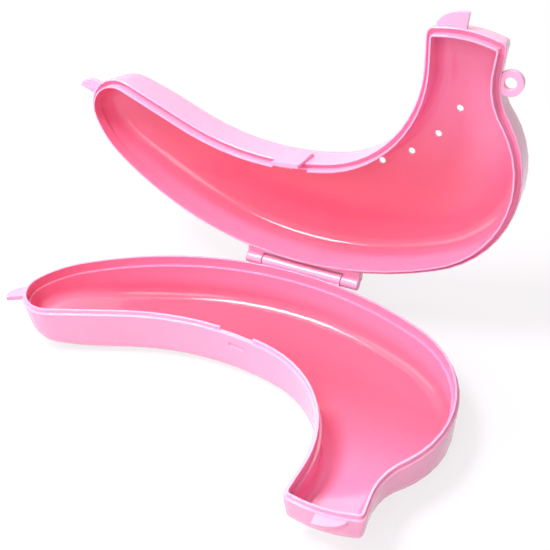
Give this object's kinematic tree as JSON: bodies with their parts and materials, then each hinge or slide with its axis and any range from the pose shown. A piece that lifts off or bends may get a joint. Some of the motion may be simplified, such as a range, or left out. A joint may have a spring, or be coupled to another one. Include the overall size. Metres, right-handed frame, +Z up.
{
  "type": "hinged fruit carrying case",
  "caption": "Crescent-shaped hinged carrying case for a piece of fruit, with a pinned hinge on its back, a snap latch on its inner bend, a key loop and vent holes in the lid.",
  "frame": {"origin": "on the flat resting face of the base, below the middle of the hinge's length", "axes": "+X along the hinge from the rounded tip towards the stem end, +Y to the hinge side, +Z up; stored with the lid standing open"},
  "size_m": [0.2164, 0.1678, 0.1553],
  "materials": {
    "pink_plastic": "gloss",
    "pin_steel": "satin"
  },
  "bodies": {
    "base": {"base_shell": "pink_plastic"},
    "lid": {"lid_shell": "pink_plastic", "hinge_pin": "pin_steel"}
  },
  "joints": [
    {"name": "lid_hinge", "type": "hinge", "parent": "base", "child": "lid", "pos_m": [0, 0.0308, 0.0247], "axis": [-1, 0, 0], "range_deg": [-100, 80]}
  ]
}
